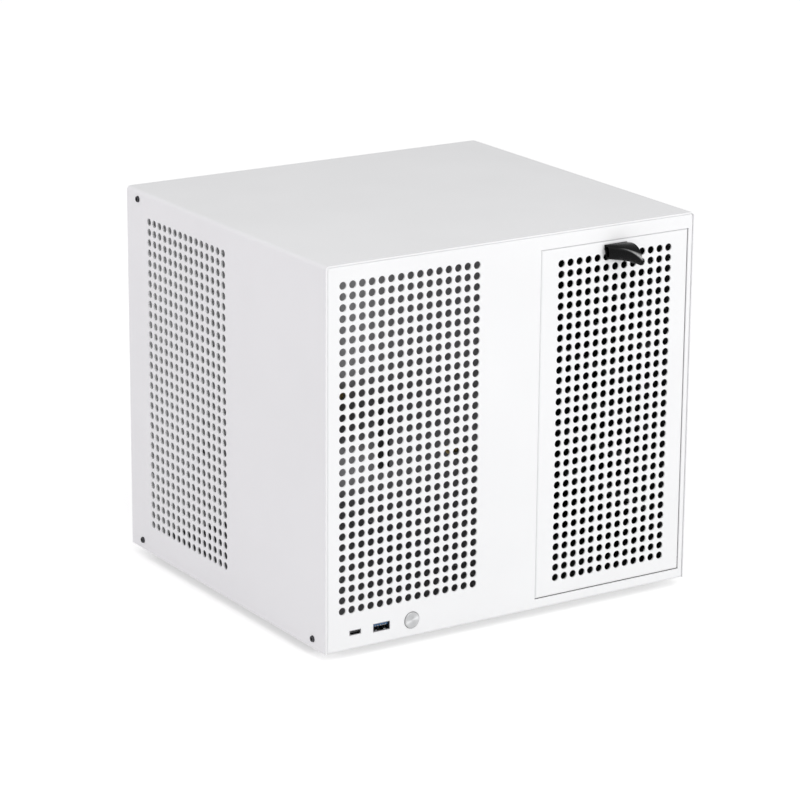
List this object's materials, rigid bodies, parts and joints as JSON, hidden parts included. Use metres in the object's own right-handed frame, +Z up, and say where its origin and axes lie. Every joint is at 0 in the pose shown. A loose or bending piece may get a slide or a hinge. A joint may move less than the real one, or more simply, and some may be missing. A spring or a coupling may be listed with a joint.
{
  "type": "nas computer case",
  "caption": "Boxy sheet-steel storage computer case with perforated front and side fields, a pull-off perforated door over stacked drive bays, front ports and rear fans.",
  "frame": {"origin": "on the floor, below the middle of the whole object's bounding box", "axes": "+X to the right as seen from the front, +Y from the front panel to the back, +Z up"},
  "size_m": [0.3014, 0.2968, 0.274],
  "materials": {
    "white_powder_coat": "fine matt powder coat",
    "black_powder_coat": "matt powder coat",
    "zinc_steel": "zinc plated, matt",
    "black_steel": "black oxide",
    "brass": "turned",
    "green_board": "solder mask",
    "black_plastic": "moulded",
    "pale_plastic": "moulded",
    "blue_plastic": "moulded",
    "strap_leather": "soft synthetic leather",
    "socket_steel": "nickel plated",
    "button_aluminium": "fine satin",
    "fan_plastic": "moulded",
    "chrome_wire": "bright plated",
    "magnet_nickel": "nickel plated",
    "foot_rubber": "matt"
  },
  "bodies": {
    "case": {"outer_cover": "white_powder_coat", "front_panel": "white_powder_coat", "rear_panel": "white_powder_coat", "floor_pan": "zinc_steel", "motherboard_tray": "zinc_steel", "slot_cover_1": "white_powder_coat", "slot_cover_2": "white_powder_coat", "cage_wall_left": "black_powder_coat", "cage_wall_right": "black_powder_coat", "motherboard_standoffs": "brass", "backplane_board": "green_board", "front_io_board": "green_board", "drive_sockets": "black_plastic", "backplane_power_sockets": "pale_plastic", "backplane_screws": "zinc_steel", "cage_screws": "zinc_steel", "slot_cover_screws": "zinc_steel", "foot_screws": "zinc_steel", "fan_screws": "black_steel", "cover_screws": "black_steel", "usb_a_shell": "socket_steel", "usb_c_shell": "socket_steel", "usb_a_insulator": "blue_plastic", "usb_c_insulator": "black_plastic", "io_board_spacers": "brass", "power_switch_housing": "black_plastic", "power_switch": "black_plastic", "fan_frame_upper": "fan_plastic", "fan_frame_lower": "fan_plastic", "fan_guard_upper": "chrome_wire", "fan_guard_lower": "chrome_wire", "door_magnet_1": "magnet_nickel", "door_magnet_2": "magnet_nickel", "door_magnet_3": "magnet_nickel", "door_magnet_4": "magnet_nickel", "foot_front_left": "foot_rubber", "foot_front_right": "foot_rubber", "foot_back_left": "foot_rubber", "foot_back_right": "foot_rubber"},
    "door": {"door_panel": "white_powder_coat", "door_strap": "strap_leather", "strap_pin": "zinc_steel"},
    "button": {"power_button": "button_aluminium"},
    "fan_rotor_top": {"fan_rotor_upper": "fan_plastic", "fan_shaft_upper": "zinc_steel"},
    "fan_rotor_bottom": {"fan_rotor_lower": "fan_plastic", "fan_shaft_lower": "zinc_steel"}
  },
  "joints": [
    {"name": "door_pull", "type": "slide", "parent": "case", "child": "door", "axis": [0, -1, 0], "range_m": [0, 0.15]},
    {"name": "power_button_press", "type": "slide", "parent": "case", "child": "button", "axis": [0, 1, 0], "range_m": [0, 0.0016], "stiffness_N_per_m": 1000, "springref_m": -0.0005},
    {"name": "upper_fan_spin", "type": "hinge", "parent": "case", "child": "fan_rotor_top", "pos_m": [0.0824, 0.132, 0.20092], "axis": [0, 1, 0], "continuous": true},
    {"name": "lower_fan_spin", "type": "hinge", "parent": "case", "child": "fan_rotor_bottom", "pos_m": [0.0824, 0.132, 0.07992], "axis": [0, 1, 0], "continuous": true}
  ]
}
